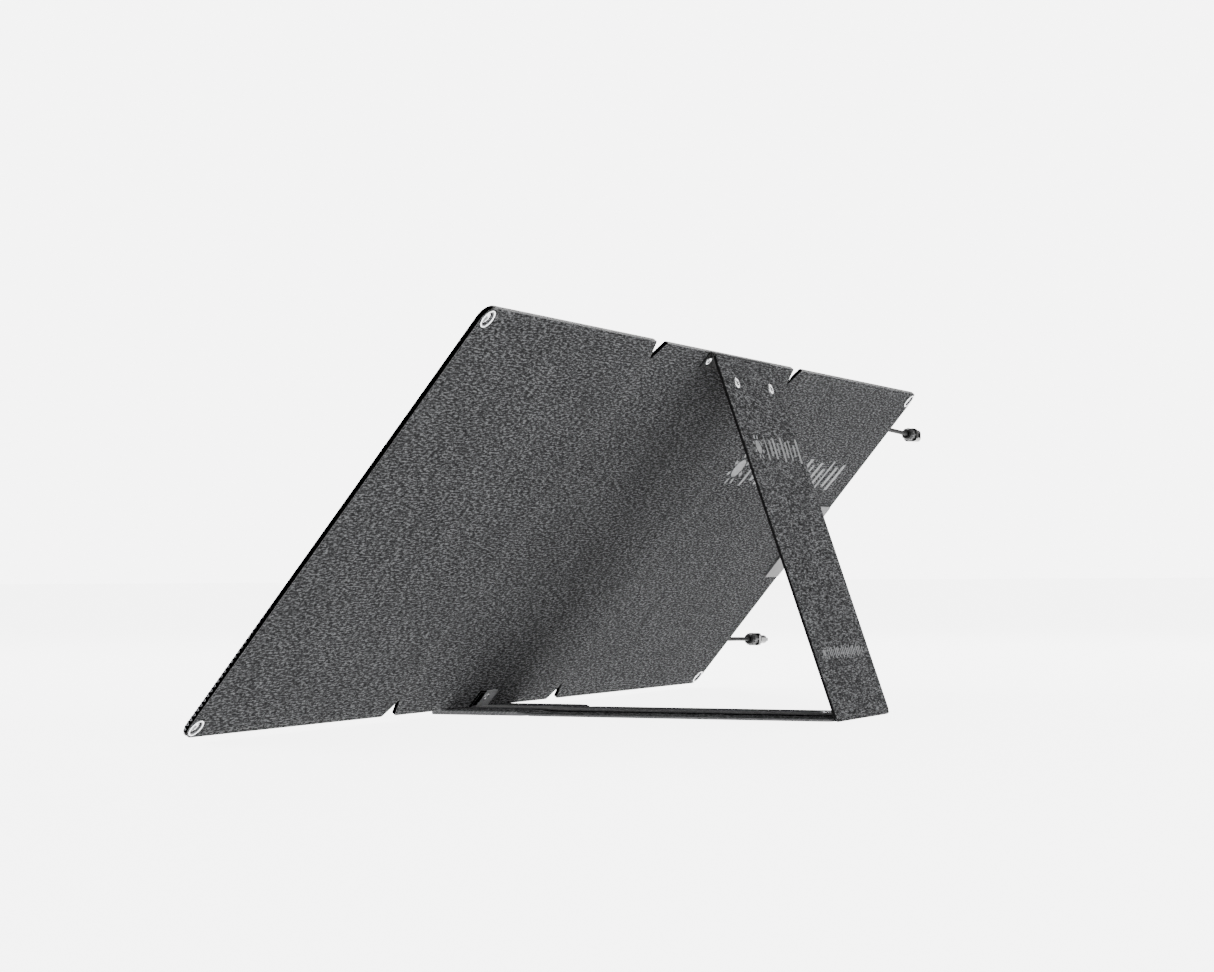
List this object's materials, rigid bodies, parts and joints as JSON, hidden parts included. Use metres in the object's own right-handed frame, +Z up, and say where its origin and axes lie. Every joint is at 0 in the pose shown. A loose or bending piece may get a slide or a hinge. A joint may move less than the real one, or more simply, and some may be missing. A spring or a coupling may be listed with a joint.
{
  "type": "folding solar panel",
  "caption": "Folding camping solar panel in heather-grey cloth, opened flat and tilted on a fold-out kickstand with a base strip, with corner eyelets and output leads.",
  "frame": {"origin": "on the ground, in the middle of the footprint of the open panel and its stand, leads left out", "axes": "+X along the panel's long side towards the plain wing, +Y from the panel's lower edge towards the stand's foot, +Z up; the solar side faces up and towards -Y"},
  "size_m": [1.5552, 0.5122, 0.4223],
  "materials": {
    "heather_cloth": "woven heather-grey polyester",
    "border_cloth": "black woven polyester",
    "glass_fibre_board": "glass-fibre laminate, translucent green",
    "encapsulant": "black backsheet",
    "silicon": "dark blue-black wafer",
    "ribbon": "tinned copper",
    "clear_film": "textured clear film",
    "eyelet_steel": "bright nickel plate",
    "snap_metal": "bright nickel plate",
    "box_plastic": "fine moulded texture",
    "gasket_rubber": "matt",
    "screw_steel": "zinc plated",
    "contact_brass": "plain",
    "diode_epoxy": "moulded epoxy",
    "gland_plastic": "moulded nylon",
    "lead_jacket": "satin cable jacket",
    "connector_nut_plastic": "moulded, slight gloss",
    "connector_plastic": "moulded, glossy",
    "contact_tin": "tinned",
    "grip_rubber": "smooth moulded"
  },
  "bodies": {
    "centre": {"centre_back_cloth": "heather_cloth", "centre_border": "border_cloth", "centre_cells": "silicon", "centre_core_board": "glass_fibre_board", "centre_encapsulant": "encapsulant", "centre_front_film": "clear_film", "centre_ribbons": "ribbon", "top_flap": "heather_cloth", "bottom_tab": "heather_cloth", "panel_studs": "snap_metal", "wing_web_cloth": "heather_cloth", "wing_web_jumpers": "ribbon", "service_web_cloth": "heather_cloth", "service_web_jumpers": "ribbon"},
    "wing": {"wing_back_cloth": "heather_cloth", "wing_border": "border_cloth", "wing_cells": "silicon", "wing_core_board": "glass_fibre_board", "wing_encapsulant": "encapsulant", "wing_eyelets": "eyelet_steel", "wing_front_film": "clear_film", "wing_ribbons": "ribbon"},
    "service": {"service_back_cloth": "heather_cloth", "service_border": "border_cloth", "service_cells": "silicon", "service_core_board": "glass_fibre_board", "service_encapsulant": "encapsulant", "service_eyelets": "eyelet_steel", "service_front_film": "clear_film", "service_ribbons": "ribbon", "box_gaskets": "gasket_rubber", "box_screws": "screw_steel", "box_terminals": "contact_brass", "bypass_diodes": "diode_epoxy", "cable_glands": "gland_plastic", "carry_handle": "grip_rubber", "negative_box_base": "box_plastic", "negative_box_lid": "box_plastic", "negative_lead": "lead_jacket", "plug_connector_body": "connector_plastic", "plug_connector_nut": "connector_nut_plastic", "plug_contact": "contact_tin", "positive_box_base": "box_plastic", "positive_box_lid": "box_plastic", "positive_lead": "lead_jacket", "socket_connector_body": "connector_plastic", "socket_connector_nut": "connector_nut_plastic", "socket_contact": "contact_tin"},
    "leg": {"leg_sleeve": "heather_cloth", "leg_board": "glass_fibre_board", "leg_studs": "snap_metal", "top_web": "heather_cloth"},
    "base": {"base_board": "glass_fibre_board", "base_end_pad": "heather_cloth", "base_sleeve": "heather_cloth", "base_sockets": "snap_metal", "tie_strap": "heather_cloth", "strap_studs": "snap_metal", "foot_web": "heather_cloth"}
  },
  "joints": [
    {"name": "wing_fold", "type": "hinge", "parent": "centre", "child": "wing", "pos_m": [0.257, -0.06967, 0.21575], "axis": [0, -0.6374, -0.7705], "range_deg": [0, 180], "deforming": ["wing_web_cloth", "wing_web_jumpers"]},
    {"name": "service_fold", "type": "hinge", "parent": "centre", "child": "service", "pos_m": [-0.1815, -0.07209, 0.21776], "axis": [0, 0.6374, 0.7705], "range_deg": [0, 178], "deforming": ["service_web_cloth", "service_web_jumpers"]},
    {"name": "stand_fold", "type": "hinge", "parent": "centre", "child": "leg", "pos_m": [0.022, 0.10742, 0.41695], "axis": [-1, 0, 0], "range_deg": [0, 58.52], "deforming": ["top_web"]},
    {"name": "foot_fold", "type": "hinge", "parent": "leg", "child": "base", "pos_m": [0.022, 0.2565, -0.0003], "axis": [1, 0, 0], "range_deg": [0, 288.72], "deforming": ["foot_web"]}
  ],
  "couplings": [
    {"joint": "foot_fold", "follows": "stand_fold", "ratio": 4.9328}
  ]
}
